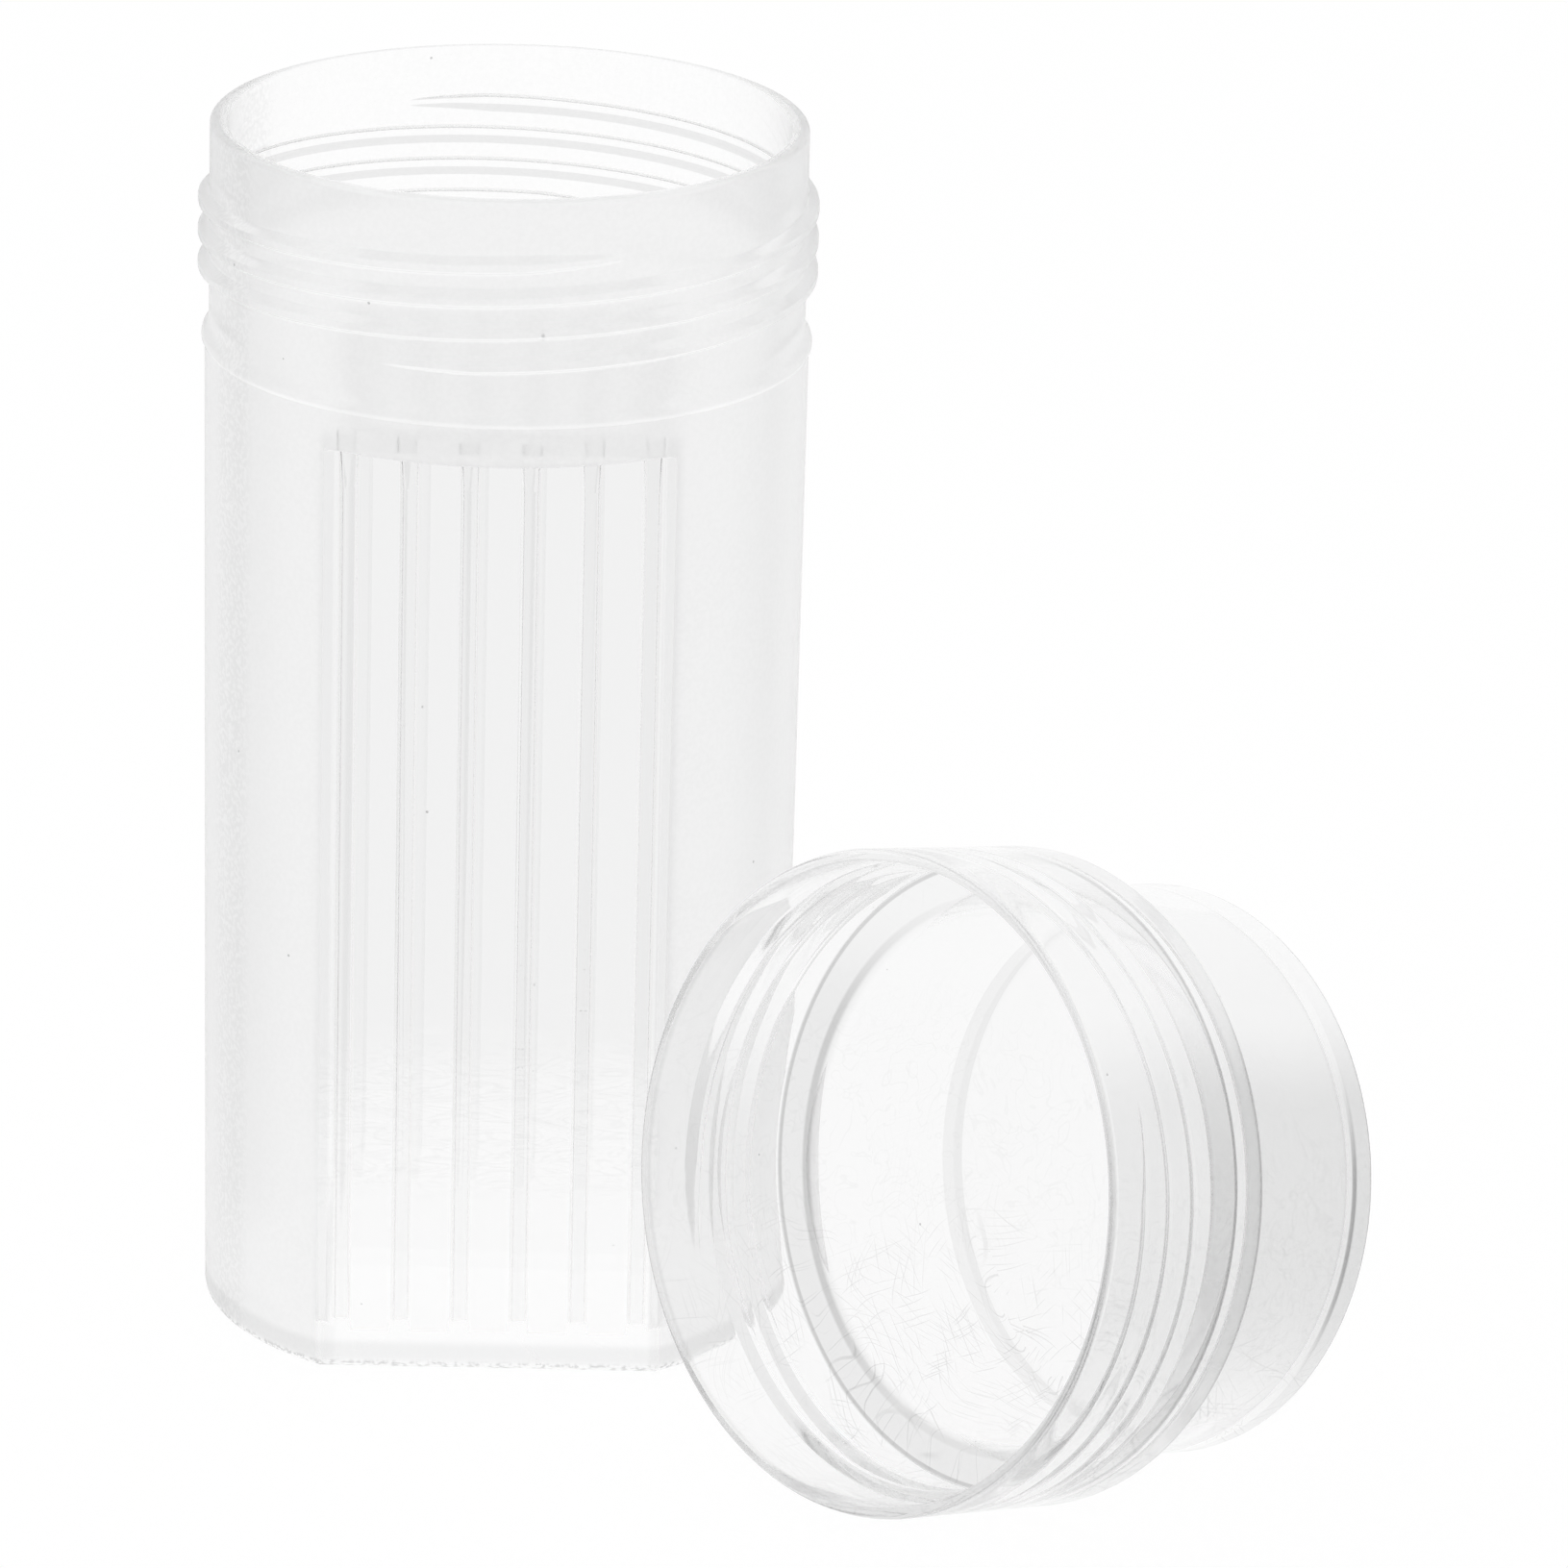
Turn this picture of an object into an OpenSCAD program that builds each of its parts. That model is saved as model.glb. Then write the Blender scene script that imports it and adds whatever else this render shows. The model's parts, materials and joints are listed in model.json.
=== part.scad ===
// Slide staining jar: a moulded jar with five slide slots, and its domed screw cap
// lying beside it on the skirt's edge and the rim of the dome. Millimetres, +Z up.

/* [Jar body] */
// Overall height of the jar
jar_h = 77; // [70:0.5:90]
// Outside radius of the round body, just under the collar
body_r = 18.75; // [18.6:0.05:19]
// Outside radius of the round body at the foot
foot_r = 18.4; // [18:0.05:18.6]
// Distance from the axis to the outer flats, under the ledge
flat_top = 15.35; // [15:0.05:15.8]
// Distance from the axis to the outer flats, at the foot
flat_foot = 15.05; // [14.7:0.05:15.35]
// Height of the ledge at which the flats end
ledge_z = 60.4; // [54:0.1:61]
// Wall thickness of the body
wall = 1.15; // [1:0.05:1.4]
// Thickness of the floor
floor_t = 2.2; // [1.6:0.1:3]
// Rounding round the foot
foot_round = 0.6; // [0.3:0.1:0.8]

/* [Slide ribs] */
// Number of slots that hold slides
slots = 5; // [3:1:5]
// Distance from one rib to the next
rib_pitch = 3.7; // [3.4:0.1:3.7]
// Width of a rib at its root
rib_w = 1.15; // [0.9:0.05:1.3]
// Width of a rib at its tip
rib_tip_w = 0.85; // [0.7:0.05:0.9]
// How far a rib stands into the jar
rib_depth = 2.2; // [1.4:0.1:2.6]

/* [Neck and thread] */
// Outside radius of the neck
neck_r = 18.5; // [18.5:0.05:18.6]
// Radius of the round opening through the neck
bore_r = 17.4; // [17.2:0.05:17.5]
// Height of the collar bead under the neck
collar_z = 63.6; // [63:0.1:64]
// Outside radius of the collar bead
collar_r = 18.95; // [18.85:0.05:19.1]
// Axial distance between neighbouring ridges
thread_pitch = 2.08; // [2:0.02:2.2]
// Number of thread starts
thread_starts = 2; // [1:1:2]
// How far a ridge stands off its wall
ridge_h = 0.7; // [0.5:0.05:0.75]
// Width of a ridge at its root
ridge_w = 1.05; // [0.8:0.05:1.1]
// Height at which the neck's ridges begin
neck_thread_z = 66.5; // [66:0.1:67]
// Turns that each ridge makes round the neck
neck_turns = 1.65; // [1:0.05:1.65]

/* [Screw cap] */
// Outside radius of the skirt at the shoulder
skirt_r = 20.05; // [20:0.05:20.6]
// Inside radius of the skirt, between the ridges
skirt_in_r = 19.35; // [19.3:0.05:19.4]
// Length of the skirt
skirt_len = 13; // [12.5:0.1:14]
// Thickness of the flat shoulder
shoulder_t = 1.8; // [1.2:0.1:2]
// Outside radius of the dome
dome_r = 17.5; // [17:0.05:17.8]
// Wall thickness of the dome
dome_wall = 1.15; // [1:0.05:1.3]
// Overall length of the cap
cap_len = 25.45; // [24:0.05:34]
// Thickness of the dome's end wall
end_t = 1.2; // [1:0.1:2]
// Turns that each ridge makes inside the skirt
cap_turns = 1.3; // [1:0.05:1.3]

/* [Where the cap lies] */
// Centre of the cap's mouth, to the right of the jar's axis
cap_x = 23.3; // [22:0.1:40]
// Centre of the cap's mouth, in front of the jar's axis
cap_y = -38.4; // [-60:0.1:-38]
// Direction in which the dome points, from +X towards +Y
cap_turn = 42.9; // [30:0.1:60]

/* [Hidden] */
$fn = 96;
plastic = [0.93, 0.94, 0.93, 0.6];

over = 1;                              // how far a cutter reaches past what it cuts
lead = thread_pitch * thread_starts;   // rise of one ridge in a full turn
inner_flat_top = flat_top - wall;
inner_flat_foot = flat_foot - wall;
shelf_z = ledge_z + wall;              // inner shelf above the flats
lip_round = 0.3;                       // edge of the jar's mouth
corner_round = 0.9;                    // inside corner round the floor
ledge_round = 0.4;                     // inside corner under the ledge
collar_half = 0.6;                     // half height of the collar bead
neck_phase = 63;                       // where the first ridge begins round the neck
seat_a = skirt_len - shoulder_t;       // depth of the face that meets the jar's lip
flare = 1.1;                           // rounding from that face into the dome
edge_round = 0.5;                      // outer edges of the shoulder and the dome
skirt_draft = 0.05;                    // extra radius at the skirt's mouth
cap_thread_a = 3.5;                    // where the ridges begin inside the skirt
cap_phase = 326;
ridge_step = 5;                        // degrees between two sections of a ridge
fade = 22;                             // degrees over which a ridge's end sinks away
root_bite = 0.25;                      // how far a ridge is set into its wall
end_sink = 0.1;                        // how deep a ridge's very end lies under the wall's surface
end_width = 0.45;                      // width of a ridge at its very end, as a part of its full width
shoulder_part = 0.6;                   // height of a ridge's shoulders, as a part of its full height
shoulder_width = 0.8;                  // width at the shoulders, as a part of the root's
crest_width = 0.4;                     // width of the crest, as a part of the root's
rib_slope = 2;                         // fall of a rib's top for each millimetre it stands out

// Tilt of the lying cap: shoulder edge and dome edge both touch the ground.
cap_tilt = atan((skirt_r - dome_r) / (cap_len - skirt_len));
cap_z = (skirt_len - edge_round) * sin(cap_tilt)
    + (skirt_r - edge_round) * cos(cap_tilt) + edge_round;

// Points of an arc from angle a to angle b round [cx, cy].
function arc(cx, cy, r, a, b, n = 5) =
    [for (i = [0:n]) [cx + r * cos(a + (b - a) * i / n), cy + r * sin(a + (b - a) * i / n)]];

// Height of a ridge along its length, from 0 at its very end to 1.
function swell(turn, total) = min(1, turn / fade, (total - turn) / fade);

// Section of a ridge as [radius, height] pairs, side = 1 outwards or -1 inwards.
// It has a flat crest, rounded shoulders and a root sunk into the wall.
function ridge_section(r, side, s) = let (
    h = (ridge_h + end_sink) * s - end_sink,
    w = ridge_w * (end_width + (1 - end_width) * s),
    root = r - side * root_bite,
    shoulder = r + side * h * shoulder_part,
    crest = r + side * h) [
    [root, -w / 2],
    [shoulder, -w * shoulder_width / 2],
    [crest, -w * crest_width / 2],
    [crest, w * crest_width / 2],
    [shoulder, w * shoulder_width / 2],
    [root, w / 2]];

// One thread ridge on a wall of radius r, swept along its helix.
module ridge(r, side, turns, phase, z) {
    total = 360 * turns;
    last = floor(total / ridge_step);
    points = [for (i = [0:last]) let (t = i * total / last, a = phase + t)
        for (p = ridge_section(r, side, swell(t, total)))
            [p[0] * cos(a), p[0] * sin(a), z + lead * t / 360 + p[1]]];
    n = 6;
    sides = [for (i = [0:last - 1], j = [0:n - 1]) let (k = (j + 1) % n)
        [i * n + j, i * n + k, (i + 1) * n + k, (i + 1) * n + j]];
    front = [for (j = [0:n - 1]) n - 1 - j];
    back = [for (j = [0:n - 1]) last * n + j];
    faces = concat([front, back], sides);
    polyhedron(points, side > 0 ? faces : [for (f = faces) [for (i = [len(f) - 1:-1:0]) f[i]]]);
}

module ridges(r, side, turns, phase, z) {
    for (i = [0:thread_starts - 1])
        ridge(r, side, turns, phase + i * 360 / thread_starts, z);
}

// Outside of the jar as a solid of revolution: foot, drafted body, collar, neck and lip.
module jar_round() {
    rotate_extrude()
        polygon(concat(
            [[0, 0]],
            arc(foot_r - foot_round, foot_round, foot_round, -90, 0),
            [[body_r, collar_z - 2 * collar_half]],
            arc(collar_r - collar_half, collar_z - collar_half / 2, collar_half, -50, 60),
            [[neck_r, collar_z + collar_half]],
            arc(neck_r - lip_round, jar_h - lip_round, lip_round, 0, 90, 3),
            [[0, jar_h]]));
}

// What the flats take away on the +Y side, seen from the side as [y, z].
module flat_cut() {
    reach = 2 * body_r;
    rotate([90, 0, 90])
        linear_extrude(height = 3 * body_r, center = true)
            polygon(concat(
                [[reach, -over], [flat_foot - foot_round - over, -over]],
                arc(flat_foot - foot_round, foot_round, foot_round, -90, 0),
                arc(flat_top + ledge_round, ledge_z - ledge_round, ledge_round, 180, 90, 3),
                [[reach, ledge_z]]));
}

// Material left between the round cavity and the inner flat on the +Y side.
module inner_flat() {
    reach = 2 * body_r;
    rotate([90, 0, 90])
        linear_extrude(height = 3 * body_r, center = true)
            polygon(concat(
                [[reach, floor_t - over], [inner_flat_foot, floor_t - over]],
                arc(inner_flat_top + lip_round, shelf_z - lip_round, lip_round, 180, 90, 3),
                [[reach, shelf_z]]));
}

module both_sides() {
    children();
    mirror([0, 1, 0]) children();
}

// Space inside the jar, open at the mouth.
module cavity() {
    cavity_foot_r = foot_r - wall;
    difference() {
        rotate_extrude()
            polygon(concat(
                [[0, floor_t]],
                arc(cavity_foot_r - corner_round, floor_t + corner_round, corner_round, -90, 0),
                [[bore_r, shelf_z]],
                arc(bore_r + lip_round, jar_h - lip_round, lip_round, 180, 90, 3),
                [[bore_r + lip_round, jar_h + over], [0, jar_h + over]]));
        both_sides() inner_flat();
    }
}

// Ribs on the +Y flat. Their tops slope, to lead a slide into its slot.
module ribs() {
    tip = inner_flat_foot - rib_depth;
    root = inner_flat_top + wall / 2;
    top = shelf_z - lip_round;
    difference() {
        for (i = [0:slots])
            translate([(i - slots / 2) * rib_pitch, 0, floor_t - wall / 2])
                linear_extrude(height = top - floor_t + wall / 2)
                    polygon([
                        [-rib_w / 2, root], [-rib_w / 2, inner_flat_foot],
                        [-rib_tip_w / 2, tip], [rib_tip_w / 2, tip],
                        [rib_w / 2, inner_flat_foot], [rib_w / 2, root]]);
        rotate([90, 0, 90])
            linear_extrude(height = 3 * body_r, center = true)
                polygon([
                    [tip - over, top - rib_slope * (rib_depth + over)],
                    [inner_flat_foot, top], [inner_flat_top, top],
                    [inner_flat_top, top + over], [tip - over, top + over]]);
    }
}

module jar() {
    color(plastic) {
        difference() {
            union() {
                difference() {
                    jar_round();
                    both_sides() flat_cut();
                }
                ridges(neck_r, 1, neck_turns, neck_phase, neck_thread_z);
            }
            cavity();
        }
        both_sides() ribs();
    }
}

// The cap standing on its mouth: skirt, flat shoulder and dome in one shell.
module cap_shell() {
    dome_in_r = dome_r - dome_wall;
    lead_in = 0.15;
    rotate_extrude()
        polygon(concat(
            [[skirt_in_r + lead_in, 0]],
            arc(skirt_r + skirt_draft - lip_round, lip_round, lip_round, -90, 0, 3),
            arc(skirt_r - edge_round, skirt_len - edge_round, edge_round, 0, 90),
            arc(dome_r + edge_round, skirt_len + edge_round, edge_round, -90, -180, 3),
            arc(dome_r - edge_round, cap_len - edge_round, edge_round, 0, 90),
            [[0, cap_len], [0, cap_len - end_t]],
            arc(dome_in_r - edge_round, cap_len - end_t - edge_round, edge_round, 90, 0),
            arc(dome_in_r + flare, seat_a + flare, flare, 180, 270),
            [[skirt_in_r, seat_a], [skirt_in_r, 3 * lead_in]]));
}

module screw_cap() {
    color(plastic)
        translate([cap_x, cap_y, cap_z])
            rotate([0, cap_tilt, cap_turn])
                rotate([90, 0, 90]) {
                    cap_shell();
                    ridges(skirt_in_r, -1, cap_turns, cap_phase, cap_thread_a);
                }
}

jar();
screw_cap();
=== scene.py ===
"""Slide staining jar and its screw cap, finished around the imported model.

The jar and the cap are turned shells whose threads are wound into the same skin. The jar then
gets its inner flats, slide ribs and outer flats. Both are of one natural plastic; the jar is
frosted round its outside and the cap is clear.
"""

import json
import logging
import math
from dataclasses import dataclass
from enum import Enum
from typing import Callable, Iterable, Sequence

import bmesh
import bpy
from mathutils import Matrix, Vector

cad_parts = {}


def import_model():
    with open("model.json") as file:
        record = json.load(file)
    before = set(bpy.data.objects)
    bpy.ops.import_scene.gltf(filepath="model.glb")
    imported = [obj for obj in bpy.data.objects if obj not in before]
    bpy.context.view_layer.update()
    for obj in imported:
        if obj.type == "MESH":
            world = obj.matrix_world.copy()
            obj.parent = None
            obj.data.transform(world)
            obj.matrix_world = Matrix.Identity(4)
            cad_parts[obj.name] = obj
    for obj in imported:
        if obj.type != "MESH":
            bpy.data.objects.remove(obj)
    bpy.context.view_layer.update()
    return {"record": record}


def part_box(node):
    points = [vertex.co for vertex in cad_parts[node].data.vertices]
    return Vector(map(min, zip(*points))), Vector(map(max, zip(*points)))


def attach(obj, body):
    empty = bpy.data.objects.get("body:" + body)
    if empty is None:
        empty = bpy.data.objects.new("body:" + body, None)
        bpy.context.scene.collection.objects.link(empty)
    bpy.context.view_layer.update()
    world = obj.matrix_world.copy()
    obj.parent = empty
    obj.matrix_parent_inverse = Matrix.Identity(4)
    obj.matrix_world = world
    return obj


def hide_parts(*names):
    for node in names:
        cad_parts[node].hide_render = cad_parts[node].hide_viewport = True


LOG = logging.getLogger("staining_jar")
MM = 0.001
COLUMNS = 288  # columns of faces round the jar and the cap
WELD = 2e-6  # vertices closer than this are one, in metres
SHARP = math.radians(30)  # edges that turn more than this stay crisp

Point = tuple[float, float]


class Side(Enum):
    """Which way a thread's ridges stand off their wall."""

    OUTWARD = 1
    INWARD = -1


# ---------------------------------------------------------------- modelling by hand


def deselect_all() -> None:
    """Leave object mode with nothing selected."""
    if bpy.context.object and bpy.context.object.mode != "OBJECT":
        bpy.ops.object.mode_set(mode="OBJECT")
    bpy.ops.object.select_all(action="DESELECT")


def make_active(piece: bpy.types.Object) -> None:
    """Select one piece alone and make it the active one.

    Args:
        piece: The piece to work on.
    """
    deselect_all()
    piece.select_set(True)
    bpy.context.view_layer.objects.active = piece


def edit(piece: bpy.types.Object) -> None:
    """Open a piece for editing with its whole mesh selected.

    Args:
        piece: The piece to edit.
    """
    make_active(piece)
    bpy.ops.object.mode_set(mode="EDIT")
    bpy.ops.mesh.select_mode(type="VERT")
    bpy.ops.mesh.select_all(action="SELECT")


def select_where(piece: bpy.types.Object, mode: str, test: Callable[..., bool]) -> int:
    """Select the vertices, edges or faces that pass a test, in edit mode.

    Args:
        piece: The piece being edited.
        mode: VERT, EDGE or FACE.
        test: Called with each vertex, edge or face.

    Returns:
        How many were selected.
    """
    bpy.ops.mesh.select_mode(type=mode)
    bpy.ops.mesh.select_all(action="DESELECT")
    shape = bmesh.from_edit_mesh(piece.data)
    parts = {"VERT": shape.verts, "EDGE": shape.edges, "FACE": shape.faces}[mode]
    chosen = [part for part in parts if test(part)]
    for part in chosen:
        part.select_set(True)
    shape.select_flush_mode()
    bmesh.update_edit_mesh(piece.data)
    return len(chosen)


def arc(
    cx: float, cy: float, radius: float, start: float, end: float, steps: int = 6
) -> list[Point]:
    """Points along an arc.

    Args:
        cx: Centre, first coordinate.
        cy: Centre, second coordinate.
        radius: Radius of the arc.
        start: First angle in degrees.
        end: Last angle in degrees.
        steps: Number of stretches.

    Returns:
        The points, both ends included.
    """
    angles = [math.radians(start + (end - start) * i / steps) for i in range(steps + 1)]
    return [(cx + radius * math.cos(a), cy + radius * math.sin(a)) for a in angles]


def lone_vertex(name: str, place: Vector) -> bpy.types.Object:
    """Start a piece as one vertex, open for editing.

    Args:
        name: Name of the piece.
        place: Where the vertex lies.

    Returns:
        The piece, in edit mode with its vertex selected.
    """
    deselect_all()
    bpy.ops.mesh.primitive_circle_add(vertices=3, radius=MM)
    piece = bpy.context.object
    piece.name = piece.data.name = name
    edit(piece)
    bpy.ops.mesh.merge(type="CENTER")
    bpy.ops.mesh.select_all(action="SELECT")
    bpy.ops.transform.translate(value=place)
    return piece


def trace(name: str, places: Sequence[Vector]) -> bpy.types.Object:
    """Draw a chain of edges by extruding one vertex from place to place.

    Args:
        name: Name of the piece.
        places: The chain's points.

    Returns:
        The piece, in edit mode.
    """
    piece = lone_vertex(name, places[0])
    for here, there in zip(places, places[1:]):
        bpy.ops.mesh.extrude_region_move(TRANSFORM_OT_translate={"value": there - here})
    return piece


def carry_rim(piece: bpy.types.Object, rim: Point, path: Iterable[Point]) -> None:
    """Extrude an open rim of a turned skin along a profile and close it on the axis.

    Args:
        piece: The skin, in edit mode.
        rim: Radius and height of the open rim in millimetres.
        path: Radius and height of each new rim; the last has radius 0.
    """
    radius, height = rim

    def on_rim(edge: bmesh.types.BMEdge) -> bool:
        """True for an open edge at the rim's height."""
        return edge.is_boundary and all(abs(v.co.z - height * MM) < WELD for v in edge.verts)

    select_where(piece, "EDGE", on_rim)
    for next_radius, next_height in path:
        rise = (0, 0, (next_height - height) * MM)
        bpy.ops.mesh.extrude_edges_move(TRANSFORM_OT_translate={"value": rise})
        scale = next_radius / radius
        centre = (0, 0, next_height * MM)
        bpy.ops.transform.resize(value=(scale, scale, 1), center_override=centre)
        radius, height = next_radius, next_height
    bpy.ops.mesh.select_all(action="SELECT")
    bpy.ops.mesh.remove_doubles(threshold=WELD)
    bpy.ops.mesh.normals_make_consistent(inside=False)


def block(name: str, outline: Sequence[Point], half: float) -> bpy.types.Object:
    """A bar along X whose section is an outline.

    Args:
        name: Name of the piece.
        outline: The section as (y, z) in millimetres.
        half: Half of the bar's length in millimetres.

    Returns:
        The closed bar, in object mode.
    """
    piece = trace(name, [Vector((-half * MM, y * MM, z * MM)) for y, z in outline])
    bpy.ops.mesh.select_all(action="SELECT")
    bpy.ops.mesh.edge_face_add()
    bpy.ops.mesh.extrude_region_move(TRANSFORM_OT_translate={"value": (2 * half * MM, 0, 0)})
    bpy.ops.mesh.select_all(action="SELECT")
    bpy.ops.mesh.normals_make_consistent(inside=False)
    deselect_all()
    return piece


def across(tool: bpy.types.Object) -> bpy.types.Object:
    """A mirrored copy of a tool on the other side of the XZ plane.

    Args:
        tool: The tool to copy.

    Returns:
        The copy, with its own mesh.
    """
    twin = shifted(tool, Vector((0, 0, 0)))
    edit(twin)
    bpy.ops.transform.resize(value=(1, -1, 1), center_override=(0, 0, 0))
    bpy.ops.mesh.normals_make_consistent(inside=False)
    deselect_all()
    return twin


def shifted(tool: bpy.types.Object, offset: Vector) -> bpy.types.Object:
    """A moved copy of a tool.

    Args:
        tool: The tool to copy.
        offset: How far the copy lies from it.

    Returns:
        The copy, with its own mesh.
    """
    twin = tool.copy()
    twin.data = tool.data.copy()
    bpy.context.scene.collection.objects.link(twin)
    edit(twin)
    bpy.ops.transform.translate(value=offset)
    deselect_all()
    return twin


def apply(piece: bpy.types.Object, kind: str, **settings: object) -> None:
    """Give a piece a modifier and apply it.

    Args:
        piece: The piece.
        kind: Blender's name for the modifier.
        settings: The modifier's settings.
    """
    make_active(piece)
    modifier = piece.modifiers.new(kind.lower(), kind)
    for name, value in settings.items():
        setattr(modifier, name, value)
    bpy.ops.object.modifier_apply(modifier=modifier.name)


def carve(piece: bpy.types.Object, tools: Iterable[bpy.types.Object], how: str) -> None:
    """Join tools to a piece or cut them out of it, and throw the tools away.

    Args:
        piece: The closed piece.
        tools: Closed tools.
        how: UNION or DIFFERENCE.
    """
    for tool in tools:
        apply(piece, "BOOLEAN", operation=how, solver="MANIFOLD", object=tool)
        bpy.data.objects.remove(tool)


def finish_skin(piece: bpy.types.Object) -> None:
    """Merge doubles, turn the faces outwards and shade the skin.

    Args:
        piece: The piece to finish.
    """
    edit(piece)
    bpy.ops.mesh.remove_doubles(threshold=WELD)
    bpy.ops.mesh.normals_make_consistent(inside=False)
    make_active(piece)
    bpy.ops.object.shade_smooth_by_angle(angle=SHARP)


def open_edges(piece: bpy.types.Object) -> int:
    """Count the edges of a mesh that don't have two faces.

    Args:
        piece: The piece.

    Returns:
        How many there are.
    """
    shape = bmesh.new()
    shape.from_mesh(piece.data)
    count = sum(not edge.is_manifold for edge in shape.edges)
    shape.free()
    return count


# ---------------------------------------------------------------- the thread


@dataclass(frozen=True)
class Thread:
    """Ridges wound round a wall, in millimetres and degrees.

    Height and phase give where the first ridge begins. A ridge's foot spreads to its width
    times skirts, and its crest is level over a part of that.
    """

    starts: int
    pitch: float
    turns: float
    height: float
    phase: float
    ridge: float = 0.7
    width: float = 1.05
    fade: float = 22.0
    sink: float = 0.1
    end_width: float = 0.45
    skirts: float = 1.3
    crest: float = 0.25

    @property
    def lead(self) -> float:
        """Rise of one ridge in a full turn."""
        return self.starts * self.pitch

    def rows(self) -> list[float]:
        """Heights of the skin's rows over one pitch, counted from a ridge's middle.

        Returns:
            Rows that crowd where the ridge's flanks and shoulders curve.
        """
        half = self.width / 2
        right = [half * part for part in (0.0, 0.28, 0.42, 0.56, 0.7, 0.85, 1.0, 1.16, 1.36)]
        valley = self.pitch / 2 - right[-1]
        right += [right[-1] + valley * part for part in (0.5, 1.0)]
        return [-value for value in reversed(right[1:-1])] + right

    def section(self, offset: float, swell: float) -> float:
        """Height of the ridge's section at an offset from its middle, from 0 to 1.

        Args:
            offset: Distance from the ridge's middle along the axis.
            swell: How far the ridge has risen there, from 0 at its end to 1.

        Returns:
            The share of the ridge's full height.
        """
        part = self.end_width + (1 - self.end_width) * swell
        reach = min(abs(offset) / (self.width / 2 * part * self.skirts), 1.0)
        slope = max(0.0, (reach - self.crest) / (1 - self.crest))
        return (0.5 + 0.5 * math.cos(math.pi * slope)) * swell

    def raised(self, angle: float, height: float) -> float:
        """How far a point of the wall is raised, from 0 to 1.

        Args:
            angle: Angle of the point round the axis in degrees.
            height: Height of the point.

        Returns:
            The share of the ridge's full height.
        """
        best = 0.0
        for start in range(self.starts):
            turned = (angle - self.phase - 360 * start / self.starts) % 360
            while turned <= 360 * self.turns:
                offset = height - self.height - self.lead * turned / 360
                swell = min(1.0, turned / self.fade, (360 * self.turns - turned) / self.fade)
                swell = max(0.0, (self.ridge + self.sink) * swell - self.sink) / self.ridge
                best = max(best, self.section(offset, swell))
                turned += 360
        return best

    def wind(
        self, name: str, radius: float, low: float, high: float, side: Side
    ) -> bpy.types.Object:
        """Wind the wall from rows that follow the thread, trim it and raise its ridges.

        Args:
            name: Name of the piece.
            radius: Radius of the wall.
            low: Height of the wall's lower rim.
            high: Height of its upper rim.
            side: Which way the ridges stand.

        Returns:
            An open tube, in edit mode.
        """
        first = self.height - self.lead * self.phase / 360
        first -= self.lead * math.ceil((first - low) / self.lead + 2)
        chain = [first + self.pitch * i + row for i in range(self.starts) for row in self.rows()]
        chain.append(chain[0] + self.lead)
        piece = trace(name, [Vector((radius * MM, 0, z * MM)) for z in chain])
        deselect_all()
        turns = math.ceil((high - first) / self.lead) + 2
        apply(
            piece,
            "SCREW",
            screw_offset=self.lead * MM,
            iterations=turns,
            steps=COLUMNS,
            render_steps=COLUMNS,
            use_merge_vertices=False,
        )
        edit(piece)
        bpy.ops.mesh.remove_doubles(threshold=WELD)
        for height, cut in ((low, {"clear_inner": True}), (high, {"clear_outer": True})):
            bpy.ops.mesh.select_all(action="SELECT")
            plane = {"plane_co": (0, 0, height * MM), "plane_no": (0, 0, 1)}
            bpy.ops.mesh.bisect(**plane, **cut, threshold=WELD / 10)
        bpy.ops.mesh.select_all(action="SELECT")
        bpy.ops.mesh.normals_make_consistent(inside=False)
        deselect_all()
        self.raise_ridges(piece, side)
        edit(piece)
        return piece

    def raise_ridges(self, piece: bpy.types.Object, side: Side) -> None:
        """Push the wall out along its normals where the ridges run.

        Args:
            piece: The wound wall.
            side: Which way the ridges stand.
        """
        group = piece.vertex_groups.new(name="ridges")
        for vertex in piece.data.vertices:
            angle = math.degrees(math.atan2(vertex.co.y, vertex.co.x))
            share = self.raised(angle, vertex.co.z / MM)
            if share > 0:
                group.add([vertex.index], share, "REPLACE")
        apply(
            piece,
            "DISPLACE",
            direction="NORMAL",
            mid_level=0.0,
            strength=side.value * self.ridge * MM,
            vertex_group=group.name,
        )
        piece.vertex_groups.clear()


# ---------------------------------------------------------------- the jar


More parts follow.
